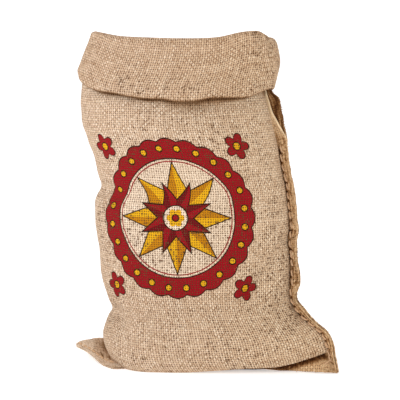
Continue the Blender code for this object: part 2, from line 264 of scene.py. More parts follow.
def earRise(x, y):
    return np.maximum(smooth(x, *ear["rise"]), 0) * np.clip((ear["back"] - y) / ear["slope"], 0, 1)


def wallRow(height, places):
    outline = section(height, places)
    outward = outwardOf(outline)
    rim = smooth(places, *mouth["rim"])
    half, low, top = sack["cloth"] / 2, sack["mouthFrom"], sack["top"]
    middle = half + (sack["solid"] / 2 - half) * ramp(height, 0, sack["settled"])
    z = np.full(len(places), middle + height)
    z += earRise(*outline.T) * (1 - np.clip(height / ear["fade"], 0, 1))
    z += (rim - sack["cuffStand"] / 2 - sack["solid"] - top) * np.clip((height - low) / (top - low), 0, 1)
    points = np.column_stack([outline, z])
    if height > 4:
        moved = pressed(pressed(points, outward, dents), outward, creases)
        points += (moved - points) * ramp(height, 4, 14)
    return points, outward


def clothRows(places):
    # the middle of the cloth from the bottom stitches up the wall, over the rim and into the cuff
    floor, floorOut = wallRow(0, places)
    share = 2 * np.minimum(places, 1 - places)
    stitches = wallRow(0, share / 2)[0]
    stitches[:, 1] += smooth(share, *bottomSeam["inset"])
    rows, outs = [], []
    for t in np.linspace(0, 1, sack["baseRows"] + 1)[:-1]:
        flat = stitches + (floor - stitches) * t
        over = hump(flat[:, 1] - stitches[:, 1], *bottomSeam["lifted"])
        over = over * ramp(share, *bottomSeam["liftStart"]) * (1 - ramp(share, *bottomSeam["liftEnd"]))
        flat[:, 2] = sack["cloth"] / 2 + earRise(*flat[:, :2].T) + bottomSeam["lift"] * over * (1 - t**4)
        rows.append(flat)
        outs.append(floorOut * 0)
    foot = sack["foot"] * np.linspace(0, 1, sack["footRows"] + 1)[:-1] ** 1.5
    bands = [np.linspace(low, high, count, endpoint=False) for low, high, count in sack["wallBands"]]
    heights = np.concatenate([foot, *bands, [sack["top"]]])
    for height in heights:
        points, out = wallRow(height, places)
        rows.append(points)
        outs.append(out)
    top, outward = rows[-1], outs[-1]
    tuck, belly, rim, edge = (smooth(places, *mouth[k]) for k in ("tuck", "belly", "rim", "edge"))
    radius = sack["cuffStand"] / 2
    centre = rim - sack["solid"] / 2 - radius
    for angle in np.linspace(0, np.pi, sack["rimRows"] + 2)[1:]:
        stand = radius * (1 - np.cos(angle))
        rows.append(np.column_stack([top[:, :2] + outward * stand, centre + radius * np.sin(angle)]))
        outs.append(outward)
    turn = (belly - sack["tuckStand"]) / 2
    low = edge + sack["solid"] / 2 + turn
    lowest, count = sack["cuffSections"]
    levels = np.linspace(lowest, sack["top"], count)
    stack = np.array([section(h, places) for h in levels])
    faces = np.array([outwardOf(outline) for outline in stack])

    def beside(stand, z):
        # below the rim the cuff follows the wall behind it, which widens downwards
        height = np.clip(z - (centre - sack["top"]), sack["cuffLowest"], sack["top"])
        at = (height - levels[0]) / (levels[1] - levels[0])
        k = np.clip(at.astype(int), 0, len(levels) - 2)
        part = (at - k)[:, None]
        column = np.arange(len(places))
        outline = stack[k, column] * (1 - part) + stack[k + 1, column] * part
        out = faces[k, column] * (1 - part) + faces[k + 1, column] * part
        rows.append(np.column_stack([outline + out * stand[:, None], z]))
        outs.append(out)

    stand = sack["cuffStand"]
    for share in np.linspace(0, 1, sack["cuffRows"] + 1)[1:]:
        beside(stand + (belly - stand) * share**0.7, centre + (low - centre) * share)
    for angle in np.linspace(0, np.pi, sack["turnRows"] + 2)[1:]:
        beside(belly - turn * (1 - np.cos(angle)), low - turn * np.sin(angle))
    for share in np.linspace(0, 1, sack["tuckRows"] + 1)[1:]:
        beside(np.full(len(places), sack["tuckStand"]), low + (tuck - low) * share)
    return np.array(rows), np.array(outs), heights


def unevenness(x, y, z):
    return sum(
        deep * noise.noise((x / wide + shiftX, y / wide + shiftY, z / high + lean * x))
        for wide, high, deep, shiftX, shiftY, lean in uneven["waves"]
    )


def sackSurface():
    # rows of points from seam to seam, and the place of each point in the flat cloth
    half = np.arange(sack["columns"]) / sack["columns"] - 0.5
    places = np.where(half < 0, half + 1, half)
    places[0] = 0.5
    rows, outs, heights = clothRows(places)
    rows = np.concatenate([rows, rows[:, :1]], axis=1)
    outs = np.concatenate([outs, outs[:, :1]], axis=1)
    turns = np.append(half, 0.5)
    climb = np.linalg.norm(np.diff(rows, axis=0), axis=2)
    up = np.concatenate([np.zeros((1, rows.shape[1])), np.cumsum(climb, axis=0)])
    level = int(np.argmin(np.abs(heights - sack["evenHeight"])))
    up += heights[level] - up[sack["baseRows"] + level]
    uv = np.stack([np.broadcast_to(turns * 2 * sack["panel"], up.shape), up], axis=2)
    loose = np.ones(len(rows))
    loose[: sack["baseRows"]] = 0
    loose[sack["baseRows"] : sack["baseRows"] + len(heights)] = ramp(heights, *uneven["grows"])
    least = uneven["atSeam"]
    side = least + (1 - least) * ramp(0.5 - np.abs(turns), 0, uneven["seamShare"])
    for j in range(len(rows)):
        if loose[j]:
            bump = np.array([unevenness(*point) for point in rows[j]]) * loose[j] * side
            rows[j, :, :2] += outs[j] * bump[:, None]
    return rows, uv, heights, sackTones(rows, places, heights)


def sackTones(rows, places, heights):
    # how far the cloth is darkened by painted shade, below 0: the cuff's shadow behind and below its edge, a
    # line beside the side stitches, and inside its turned-in hem
    tones = np.zeros(rows.shape[:2])
    places = np.append(places, 0.5)
    edge, shade, reach = (smooth(places, *mouth[k]) for k in ("edge", "shade", "shadeReach"))
    core = paintedShade["core"][0] + paintedShade["core"][1] * reach
    first, share, (lowest, over) = sack["baseRows"], paintedShade["coreShare"], paintedShade["zone"]
    for j in range(first, first + len(heights)):
        below = np.maximum(edge - paintedShade["drop"] - rows[j, :, 2], 0)
        close = hump(below, 0, core) * share + hump(below, 0, reach) * (1 - share)
        tones[j] = -shade * close * (heights[j - first] > lowest) * (rows[j, :, 2] < edge + over)
    fromSeam = (0.5 - np.minimum(places, 1 - places)) * 2 * sack["panel"]
    tone, reach, top = paintedShade["seam"]
    tones[first : first + len(heights)] -= tone * hump(fromSeam, 0, reach) * (heights < top)[:, None]
    turned = first + len(heights) + sack["rimRows"] + sack["cuffRows"] + 1
    tone, setIn = paintedShade["hem"]
    for j in range(turned, len(rows)):
        tones[j] = -tone * min(1, (j - turned) / setIn)
    return tones


def gridPatch(bm, points, uv, tones=None):
    # one more sheet in the mesh: a flat grid whose corners move to their places
    layer = bm.loops.layers.uv.get(uvName) or bm.loops.layers.uv.new(uvName)
    shading = bm.verts.layers.float.get(toneName) or bm.verts.layers.float.new(toneName)
    rows, columns = points.shape[:2]
    made = bmesh.ops.create_grid(bm, x_segments=columns - 1, y_segments=rows - 1, size=0.5)["verts"]
    places = ((points - np.array(sack["middle"])) * mm).reshape(-1, 3)
    flat = (uv * mm).reshape(-1, 2)
    tones = np.zeros(len(places)) if tones is None else tones.reshape(-1)
    for k, vert in enumerate(made):
        vert.co = places[k]
        vert[shading] = tones[k]
        for loop in vert.link_loops:
            loop[layer].uv = flat[k]


def sewnUp(bm):
    bmesh.ops.remove_doubles(bm, verts=bm.verts, dist=2e-6)
    bmesh.ops.dissolve_degenerate(bm, edges=bm.edges, dist=1e-6)
    bmesh.ops.recalc_face_normals(bm, faces=bm.faces)


def inScene(name, data):
    made = bpy.data.objects.new(name, data)
    bpy.context.scene.collection.objects.link(made)
    return made


def meshObject(bm, name, materials):
    mesh = bpy.data.meshes.new(name)
    bm.to_mesh(mesh)
    bm.free()
    for material in materials:
        mesh.materials.append(material)
    return inScene(name, mesh)


def pieceFrom(bm, name, materials, thickness=0.0, inside=0):
    if not thickness:
        sewnUp(bm)
    piece = meshObject(bm, name, materials)
    piece.data.shade_smooth()
    if thickness:
        cloth = piece.modifiers.new("thickness", "SOLIDIFY")
        cloth.thickness = thickness * mm
        cloth.offset = 0
        cloth.material_offset = inside
        cloth.material_offset_rim = inside
    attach(piece, "root")
    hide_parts("sack_cloth")
    print(name, "is made of", len(piece.data.polygons), "faces")
    return piece


def mathsNode(operation, reflected=False):
    def added(self, *others):
        return self.maths(operation, *((*others, self) if reflected else (self, *others)))

    return added


class Signal:
    # a shader socket that can stand in a sum
    def __init__(self, finish, socket):
        self.finish, self.socket = finish, socket

    def maths(self, operation, *values):
        return self.finish.make("Math", {"operation": operation}, dict(enumerate(values)))

    __add__ = __radd__ = mathsNode("ADD")
    __sub__, __rsub__ = mathsNode("SUBTRACT"), mathsNode("SUBTRACT", True)
    __mul__ = __rmul__ = mathsNode("MULTIPLY")
    __truediv__ = mathsNode("DIVIDE")
    __pow__, __rpow__ = mathsNode("POWER"), mathsNode("POWER", True)
    __abs__ = mathsNode("ABSOLUTE")
    floor, fraction, root = mathsNode("FLOOR"), mathsNode("FRACT"), mathsNode("SQRT")
    cos, sin, arc = mathsNode("COSINE"), mathsNode("SINE"), mathsNode("ARCTAN2")
    most, least, over = mathsNode("MAXIMUM"), mathsNode("MINIMUM"), mathsNode("GREATER_THAN")

    def ramped(self, low, high, first=0.0, last=1.0):
        values = {"Value": self, "From Min": low, "From Max": high, "To Min": first, "To Max": last}
        return self.finish.make("MapRange", {"interpolation_type": "SMOOTHSTEP"}, values)


class Finish:
    # one material and its nodes
    def __init__(self, name):
        self.material = bpy.data.materials.new(name)
        self.material.use_nodes = True
        self.nodes = self.material.node_tree.nodes
        self.links = self.material.node_tree.links
        self.surface = self.nodes["Principled BSDF"].inputs

    def feed(self, socket, value):
        if isinstance(value, Signal):
            self.links.new(value.socket, socket)
        else:
            socket.default_value = value

    def dress(self, values):
        for name, value in values.items():
            self.feed(self.surface[name], value)
        return self.material

    def jute(self, colour, bump, rough):
        look = {"Base Color": colour, "Normal": bump, "Roughness": rough}
        return self.dress(look | {"Specular IOR Level": 0.08})

    def make(self, kind, settings, values, output=0):
        node = self.nodes.new("ShaderNode" + kind)
        for name, value in settings.items():
            setattr(node, name, value)
        for name, value in values.items():
            self.feed(node.inputs[name], value)
        return Signal(self, node.outputs[output])

    def place(self):
        # across and along the flat cloth, in metres
        uv = self.make("UVMap", {"uv_map": uvName}, {})
        across = self.make("SeparateXYZ", {}, {"Vector": uv}, "X")
        return across, Signal(self, across.socket.node.outputs["Y"])

    def vector(self, x, y, z=0.0):
        return self.make("CombineXYZ", {}, {"X": x, "Y": y, "Z": z})

    def noise(self, x, y, z, detail, roughness=0.5):
        values = {"Vector": self.vector(x, y, z), "Scale": 1.0, "Detail": detail, "Roughness": roughness}
        return self.make("TexNoise", {}, values)

    def chance(self, x, y):
        return self.make("TexWhiteNoise", {"noise_dimensions": "2D"}, {"Vector": self.vector(x, y)})

    def blend(self, share, first, second, mode="MIX"):
        # a Mix node's colour sockets stand at 6 and 7, and its colour output at 2
        settings = {"data_type": "RGBA", "blend_type": mode, "clamp_factor": True}
        return self.make("Mix", settings, {0: share, 6: first, 7: second}, 2)


def linear(red, green, blue):
    # a screen colour of 0 to 255 as the linear one that a shader takes
    shares = (red / 255, green / 255, blue / 255)
    return (*(c / 12.92 if c <= 0.04045 else ((c + 0.055) / 1.055) ** 2.4 for c in shares), 1.0)


# The weave, in mm, and its colours.
weave = {
    "warpPitch": 2.62,
    "weftPitch": 2.5,
    "pale": (240, 220, 198),
    "mid": (210, 181, 154),
    "dark": (153, 117, 85),
    # painted shade between and beside the threads, and seen through the pinholes
    "gapShade": (92, 58, 32),
    "paintedShadow": (0.10, 0.048, 0.02),  # the share of each colour that the deepest shadow keeps
    # the colour that a tone above 0 pales the cloth towards: a painted highlight on raised edges, and paler
    # cloth
    "highlightAndPale": (255, 240, 222),
    "golden": (0.98, 0.95, 0.86, 1.0),  # towards the side seam
    "goldenFrom": (0.05, 0.30),
    "footTint": (0.92, 0.91, 0.89, 1.0),  # darker towards the foot
    "footTintTo": (0.02, 0.20),
    "half": 0.295,  # of a thread's width, as a share of the pitch
    "loose": 0.30,  # how far the widest pinholes open
    "tone": 0.36,
    "warpTone": 0.26,
    # of each crossing, thread, slub, grain, patch and cloud
    "toneShares": (0.30, 0.12, 0.14, 0.6, 0.1, 0.22),
    "darkTones": (-0.05, 0.5),
    "paleTones": (0.45, 0.95),
    "crest": (-0.55, 1.1),
    "relief": 0.0007,
}


def burlap(name, pattern=None, shade=(1.0, 1.0, 1.0), closeness=0.0):
    finish = Finish(name)
    across, along = finish.place()
    warp = across / (weave["warpPitch"] * mm)
    weft = along / (weave["weftPitch"] * mm)
    warp = warp + (finish.noise(warp * 0.31, weft * 0.07, 0.0, 1.0) - 0.5) * 0.9
    weft = weft + (finish.noise(warp * 0.06, weft * 0.33, 7.0, 1.0) - 0.5)
    i, j = warp.floor(), weft.floor()
    sideways, upways = warp - i - 0.5, weft - j - 0.5
    warpLuck, weftLuck = finish.chance(i, 3.0), finish.chance(11.0, j)
    crossing = finish.chance(i + 0.37, j + 0.71)
    pinHole = finish.chance((warp + 0.5).floor() + 0.13, (weft + 0.5).floor() + 0.59)
    warpSlub = finish.noise(i * 7.31, weft * 0.11, 0.0, 1.0)
    weftSlub = finish.noise(warp * 0.10, j * 5.77, 3.0, 1.0)
    cloud = finish.noise(across * 9.0, along * 11.0, 8.0, 2.0)
    loose = weave["loose"] * pinHole**4.0 * cloud.ramped(0.38, 0.64, 0.25, 1.0)

    def threadTop(away, luck, luckShare, slub, slubShare, rarity, rise):
        # height of one thread's surface; it falls away beside the thread, and a few threads are thin
        half = weave["half"] + closeness + luckShare * luck + slubShare * slub - loose
        bulge = 1.0 - (away / (half - 1.6 * (luck - rarity).most(0.0))) ** 2.0
        return 0.5 * rise + 0.8 * bulge.most(0.0) ** 0.7 - 1.3 * (0.0 - bulge).over(0.0)

    warpRise = ((weft - 0.5) * math.pi).cos() * (i * math.pi).cos()
    weftRise = 0.0 - ((warp - 0.5) * math.pi).cos() * (j * math.pi).cos()
    warpTop = threadTop(sideways, warpLuck, 0.04, warpSlub, 0.10, 0.94, warpRise)
    weftTop = threadTop(upways, weftLuck, 0.05, weftSlub, 0.12, 0.92, weftRise)
    height = warpTop.most(weftTop)
    warpShows = warpTop.over(weftTop)
    luck = warpShows * warpLuck + (1.0 - warpShows) * weftLuck
    slub = warpShows * warpSlub + (1.0 - warpShows) * weftSlub
    grain = finish.noise(warp * 2.6, weft * 2.6, 5.0, 3.0, 0.7)
    patch = finish.noise(across * 60.0, along * 60.0, 2.0, 3.0, 0.6)
    tone = weave["tone"] + weave["warpTone"] * warpShows
    for share, signal in zip(weave["toneShares"], (crossing, luck, slub, grain, patch, cloud)):
        tone = tone + share * (signal - 0.5)
    colour = finish.blend(tone.ramped(*weave["darkTones"]), linear(*weave["dark"]), linear(*weave["mid"]))
    colour = finish.blend(tone.ramped(*weave["paleTones"]), colour, linear(*weave["pale"]))
    crest = height.ramped(*weave["crest"])
    if pattern:
        colour = pattern(finish, across, along, colour, crest)
    # painted shade: darker towards the gap shade where the threads fall away
    depth = crest * 0.9 + 0.1
    colour = finish.blend(depth, linear(*weave["gapShade"]), colour)
    # painted shade and highlight from the tone attribute: below 0 the colour darkens towards the shadow
    # shares, above 0 it pales towards the highlight colour
    painted = finish.make("Attribute", {"attribute_name": toneName}, {}, "Fac")
    paintedShadow = ((0.0 - painted).most(0.0) * (grain * 0.9 + 0.55)).least(1.0) ** 1.4
    shadowTint = finish.vector(*[share**paintedShadow for share in weave["paintedShadow"]])
    colour = finish.blend(1.0, colour, shadowTint, "MULTIPLY")
    colour = finish.blend(painted.most(0.0), colour, linear(*weave["highlightAndPale"]))
    colour = finish.blend(across.ramped(*weave["goldenFrom"]), colour, weave["golden"], "MULTIPLY")
    # the cloth darker towards the foot
    foot = along.ramped(*weave["footTintTo"], 1.0, 0.0)
    colour = finish.blend(foot, colour, weave["footTint"], "MULTIPLY")
    if shade != (1.0, 1.0, 1.0):
        colour = finish.blend(1.0, colour, (*shade, 1.0), "MULTIPLY")
    relief = height * 0.6 + grain * 0.5
    bump = finish.make("Bump", {}, {"Strength": 0.85, "Distance": weave["relief"], "Height": relief})
    return finish.jute(colour, bump, 0.95 - 0.12 * crest)


# The print on the front, in mm: a folk star in a scalloped ring, with small flowers beside it.
rosette = {
    "centre": (140.0, 169.0),
    "crimson": (146, 8, 26),
    "deep": (104, 4, 18),
    "gold": (222, 166, 24),
    "amber": (186, 122, 14),
    "black": (12, 7, 6),
    "cream": (244, 226, 204),
    "line": 1.3,
    "soft": 0.25,  # half the width over which an edge fades
    "ringInner": 65.0,
    "ringOuter": 84.0,
    "scallops": 24,
    "scallop": 3.6,
    "beads": 24,
    "bead": 3.6,
    "beadShift": 2.0,
    "fineRing": (3.2, 0.7),  # how far inside the ring, and half its width
    "points": 8,
    "bigStar": (61.0, 31.0),
    "smallStar": (41.0, 20.0),
    "disc": 13.5,
    "petals": (7.5, 2.6),
    "eye": 3.6,
    "thinInk": (0.35, 0.5),  # how much the cream covers in the ring and on the disc
    "corner": 77.5,  # from the star's middle to each flower's, across and along
    "flower": 14.5,
}


def farFrom(x, y):
    return (x * x + y * y).root()


def folded(angle, count, turned=0.0):
    # the angle from the nearest of so many spokes, and which side of it
    part = (angle * (count / (2 * math.pi)) + turned + 0.5).fraction() - 0.5
    return part * (2 * math.pi / count)


def starEdge(radius, angle, outer, inner, count):
    # distance outside the straight edges of a star
    reach = math.pi / count
    dx, dy = inner * math.cos(reach) - outer, inner * math.sin(reach)
    size = math.hypot(dx, dy)
    bend = abs(angle)
    return (radius * bend.cos() - outer) * (dy / size) - radius * bend.sin() * (dx / size)


def folkStar(finish, across, along, cloth, hold):
    x = across * 1000.0 - rosette["centre"][0]
    y = along * 1000.0 - rosette["centre"][1]
    radius, angle = farFrom(x, y), y.arc(x)
    crimson, deep, gold, amber, black, cream = (
        linear(*rosette[k]) for k in ("crimson", "deep", "gold", "amber", "black", "cream")
    )
    ink, cover = crimson, 0.0

    def within(distance):
        return 1.0 - distance.ramped(-rosette["soft"], rosette["soft"])

    def lay(distance, colour, edged=True, body=1.0):
        # one printed shape, with its black outline; a body under 1 lets the cloth show through
        nonlocal ink, cover
        grown = rosette["line"] / 2 if edged else 0.0
        if edged:
            outside = within(distance - grown)
            ink = finish.blend(outside, ink, black)
            cover = outside.most(cover)
        inside = within(distance + grown)
        ink = finish.blend(inside, ink, colour)
        cover = inside.most(cover) if body == 1.0 else cover * (1.0 - inside) + inside * body

    scallops, inner, outer = rosette["scallops"], rosette["ringInner"], rosette["ringOuter"]
    lay(radius - (outer + (folded(angle, scallops) * (scallops / 2)).cos() * rosette["scallop"]), crimson)
    bead = folded(angle, rosette["beads"], 0.5)
    middle = (inner + outer) / 2 + rosette["beadShift"]
    lay(farFrom(radius * bead.cos() - middle, radius * bead.sin()) - rosette["bead"], gold)
    lay(radius - inner, cream, body=rosette["thinInk"][0])
    inset, half = rosette["fineRing"]
    lay(abs(radius - (inner - inset)) - half, crimson, False)
    for size, turned, light, dark in (("bigStar", 0.0, gold, amber), ("smallStar", 0.5, crimson, deep)):
        spoke = folded(angle, rosette["points"], turned)
        tone = finish.blend(spoke.over(0.0), light, dark)
        lay(starEdge(radius, spoke, *rosette[size], rosette["points"]), tone)
    lay(radius - rosette["disc"], cream, body=rosette["thinInk"][1])
    size, wave = rosette["petals"]
    lay(radius - (size + wave * (folded(angle, 6) * 3.0).cos()), gold, False)
    lay(radius - rosette["eye"], crimson)
    px, py = abs(x) - rosette["corner"], abs(y) - rosette["corner"]
    far, lobe = farFrom(px, py), (folded(py.arc(px), 5) * 2.5).cos()
    lay(far - rosette["flower"] * (0.55 + 0.45 * abs(lobe)), crimson)
    lay(far - rosette["flower"] * 0.3, gold)
    worn = finish.noise(across * 300.0, along * 320.0, 4.0, 2.0)
    share = cover * (hold * 0.5 + 0.75).least(1.0) * worn.ramped(0.1, 0.3, 0.85, 1.0)
    return finish.blend(share, cloth, ink)


twineLook = {
    "pale": (226, 188, 150),
    "dark": (150, 104, 66),
    "plies": 3,
    "turns": 0.9,  # turns of the twist for each millimetre
}


def twine(name):
    finish = Finish(name)
    roundWay, length = finish.place()
    plies = twineLook["plies"]
    phase = roundWay * 1000.0 + length * (1000.0 * twineLook["turns"] / plies)
    ply = abs((phase * (plies * math.pi)).sin())
    fibre = finish.noise(roundWay * 9000.0, length * 900.0, 2.0, 3.0, 0.7)
    # painted shade: the twine is darker in the grooves between its plies
    tone = (ply * 0.6 + fibre * 0.6).ramped(0.2, 1.0)
    colour = finish.blend(tone, linear(*twineLook["dark"]), linear(*twineLook["pale"]))
    bump = finish.make("Bump", {}, {"Strength": 0.8, "Distance": 0.0004, "Height": ply + fibre * 0.5})
    return finish.jute(colour, bump, 0.95 - 0.15 * ply)


# Camera first, as it fixes what is seen.
shot = {
    "distance": 1850,
    "turn": 6.0,
    "height": 415,
    "aimHeight": 190,
    "focalPixels": 1678.95,
    "pixels": 400,
    "aimPixel": (208.0, 191.67),
}


def makeCamera():
    data = bpy.data.cameras.new("view camera")
    data.lens = data.sensor_width * shot["focalPixels"] / shot["pixels"]
    data.shift_x = (shot["pixels"] / 2 - shot["aimPixel"][0]) / shot["pixels"]
    data.shift_y = (shot["aimPixel"][1] - shot["pixels"] / 2) / shot["pixels"]
    data.clip_end = 500
    camera = inScene("view camera", data)
    aim = -np.array(sack["middle"]) + (0, 0, shot["aimHeight"])
    turn = math.radians(shot["turn"])
    away = shot["distance"] * np.array((math.sin(turn), -math.cos(turn), 0))
    place = aim + away + (0, 0, shot["height"] - shot["aimHeight"])
    camera.location = place * mm
    camera.rotation_euler = Vector((aim - place) * mm).to_track_quat("-Z", "Y").to_euler()
    bpy.context.scene.camera = camera
    print("camera stands at", [round(c, 3) for c in camera.location])


studio = {
    "world": 0.60,
    "floor": (246, 246, 246),
    "paints": (("pale floor", 0.42), ("pale wall", 0.66)),  # and how much each glows
    "reach": 15,
    "wall": 6,
    "aim": (0, 0, 0.18),
    "lamps": (
        # name, place and size in metres, watts
        ("key", (-1.5, -1.7, 1.9), 1.0, 18.5),
        ("front", (0.7, -2.6, 1.0), 1.6, 5.0),
        ("top", (0.1, 0.3, 2.4), 1.6, 6.0),
        ("side", (-2.4, 0.7, 1.0), 1.2, 5.0),
    ),
}


def makeStudio():
    scene = bpy.context.scene
    scene.view_settings.view_transform = "Standard"
    world = bpy.data.worlds.new("white room")
    world.use_nodes = True
    light = world.node_tree.nodes["Background"].inputs
    light["Color"].default_value = (1, 1, 1, 1)
    light["Strength"].default_value = studio["world"]
    scene.world = world
    bm = bmesh.new()
    bmesh.ops.create_grid(bm, x_segments=1, y_segments=1, size=studio["reach"])
    raised = bmesh.ops.extrude_edge_only(bm, edges=bm.edges)["geom"]
    wallTop = [part for part in raised if isinstance(part, bmesh.types.BMVert)]
    bmesh.ops.translate(bm, verts=wallTop, vec=(0, 0, studio["wall"]))
    for face in bm.faces:
        face.material_index = int(face.calc_center_median().z > studio["wall"] / 4)
    paints = []
    for name, glow in studio["paints"]:
        look = {"Base Color": linear(*studio["floor"]), "Roughness": 0.9, "Specular IOR Level": 0.1}
        look |= {"Emission Color": (1, 1, 1, 1), "Emission Strength": glow}
        paints.append(Finish(name).dress(look))
    meshObject(bm, "floor", paints)
    for name, place, size, watts in studio["lamps"]:
        data = bpy.data.lights.new(name, "AREA")
        data.size, data.energy = size, watts
        lamp = inScene(name, data)
        lamp.location = place
        lamp.rotation_euler = (Vector(studio["aim"]) - Vector(place)).to_track_quat("-Z", "Y").to_euler()
    print("studio has", len(studio["lamps"]), "lamps")


# The cloth outside the stitches, in mm: two layers that stand out at the side and hang under the right ear.
allowance = {
    "reach": 12.5,  # width, in place and in the flat cloth
    "across": 14,
    "step": 1.3,
    "cloth": 1.15,
    "gap": 0.62,
    # height, then how far the strip turns to the front, in degrees
    "turn": ((14, 30, 60, 110, 180, 235, 262, 306), (50, 50, 44, 36, 36, 22, -12, -25)),
    # height, then how much wider it is there
    "bulge": (
        (0, 14, 26, 40, 50, 56, 68, 76, 82, 89, 97, 106, 117, 146, 170, 190, 205, 222, 256, 290, 302, 312),
        (0, -1.5, -3.0, -4.8, -0.6, 1.8, -0.8, -2.0, -1.0, 2.0, 2.4, 1.0, -1.1, 0.2, -0.8, -0.4, -0.6, -1.2,
         0.6, 3.4, -2.4, -6.0),
    ),
    # height, then the front layer's share of the width, where it slips back towards the cuff
    "cover": ((238, 246, 256, 265, 276, 288, 300, 312), (1.0, 0.95, 0.72, 0.52, 0.28, 0.19, 0.18, 0.17)),
    "slip": (240, 262),
    "hang": (4, 20),  # how far under the side seam it comes to hang down
    "cord": 0.85,  # height of the swelling over the twine
    "roll": 0.75,  # and of the rolled raw edge
    "start": 312,
    "stations": (9, 6.0),  # height of the last key station, and the step down to each
    "tip": (147, -55, 0.6),
    # places in the flat cloth under the base: shift from x, and the stitches and the raw edge
    "flat": (140, -30.0, -42.5),
    # x of the stitches, x and y of the raw edge below them
    "hanging": ((121, 130, -54), (108, 115, -52), (95, 98, -49), (84, 84, -46), (72, 71, -42)),
    # x of the stitches under the base, and how far the raw edge lies behind them
    "under": ((60, 11), (46, 7), (30, -3), (12, -9), (-8, -11), (-28, -11), (-46, -11), (-60, -9), (-70, -8)),
}


def seamPath(rows, heights):
    # key stations of the allowance: stitches, raw edge, the places of both in the flat cloth
    base = sack["baseRows"]
    seam = rows[base : base + len(heights), 0]

    def at(h):
        return np.array([np.interp(h, heights, seam[:, k]) for k in range(3)])

    panel, wide, keys = sack["panel"], allowance["reach"], []
    last, down = allowance["stations"]
    for h in np.arange(allowance["start"], last, -down):
        along = unit(at(h - down / 2) - at(h + down / 2))
        out = unit(np.cross(along, (0, 1, 0)))
        turn = math.radians(smooth(h, *allowance["turn"]))
        front = unit(np.cross(along, out))
        way = out * math.cos(turn) + front * math.sin(turn)
        reach = wide + smooth(h, *allowance["bulge"])
        keys.append((at(h) - out * 0.6, at(h) + way * reach, (panel, h), (panel + wide, h)))
    corner, tip = at(0), np.array(allowance["tip"])
    start = keys[-1]
    for t in (0.35, 0.7, 1.0):
        keys.append((
            start[0] + (corner + (-1, 0, 0.6) - start[0]) * min(1, t * 1.2),
            start[1] + (tip - start[1]) * t,
            (panel, start[2][1] * (1 - t)),
            (panel + wide, start[3][1] * (1 - t) - wide * t),
        ))
    shift, sewn, raw = allowance["flat"]

    def under(x, y, z, edge):
        keys.append((np.array((x, y, z)), np.array(edge), (x + shift, sewn), (edge[0] + shift, raw)))

    line = rows[0, sack["columns"] // 2 :]
    for x, *edge in allowance["hanging"]:
        y, z = np.interp(x, line[:, 0], line[:, 1]), smooth(x, *ear["rise"])
        under(x, y - 0.5, z + sack["cloth"] / 2, (*edge, 0.9))
    for x, behind in allowance["under"]:
        y, z = np.interp(x, line[:, 0], line[:, 1]), smooth(x, *ear["rise"])
        under(x, y + 1, z * 0.5 + 1.25, (x - 1, y + behind, 1.25))
    return keys


def seamStations(keys):
    # the key stations resampled at even steps along the middle of the allowance
    flat = np.array([np.concatenate([inner, outer, uvIn, uvOut]) for inner, outer, uvIn, uvOut in keys])
    length = lengthAlong(0.35 * flat[:, :3] + 0.65 * flat[:, 3:6])
    steps = np.arange(0, length[-1], allowance["step"])
    even = np.stack([smooth(steps, length, flat[:, k]) for k in range(flat.shape[1])], axis=1)
    inner, outer = even[:, :3], even[:, 3:6]
    reach = outer - inner
    along = np.gradient(0.5 * (inner + outer), axis=0)
    face = unit(np.cross(along, reach))
    for _ in range(6):
        face[1:-1] = unit(face[:-2] + 2 * face[1:-1] + face[2:])
    return steps, inner, outer, face, even[:, 6:8], even[:, 8:10]


# The stitches: thick jute twine in a running stitch on both faces of the allowance.
stitching = {
    "pitch": 10.6,
    "length": 8.8,
    "radius": 1.1,
    "sink": 1.5,
    "rise": 1.0,
    "points": 9,
    "sides": 8,
    "place": 0.44,  # share of the allowance's width
    "stray": 0.12,
    "strayLength": 14,
    "under": 0.7,  # thickness under the base, as a share
    "earPitch": 9.5,
    "seed": 11,
}


def pinch(steps, share, side):
    # the cloth drawn in where the twine goes through it
    pitch = stitching["pitch"]
    shift = 0.5 if side == 1 else 0.0
    away = np.abs(((steps / pitch + shift + 0.5) % 1.0) - 0.5) * pitch
    place = stitching["place"] + stitching["stray"] * noiseAlong(steps, stitching["strayLength"], 1.5, side)
    return hump(away, 0, 1.8) * hump(share, place, 0.15)


def noiseAlong(steps, scale, row, seed):
    return np.array([noise.noise((s / scale, row, seed)) for s in steps])


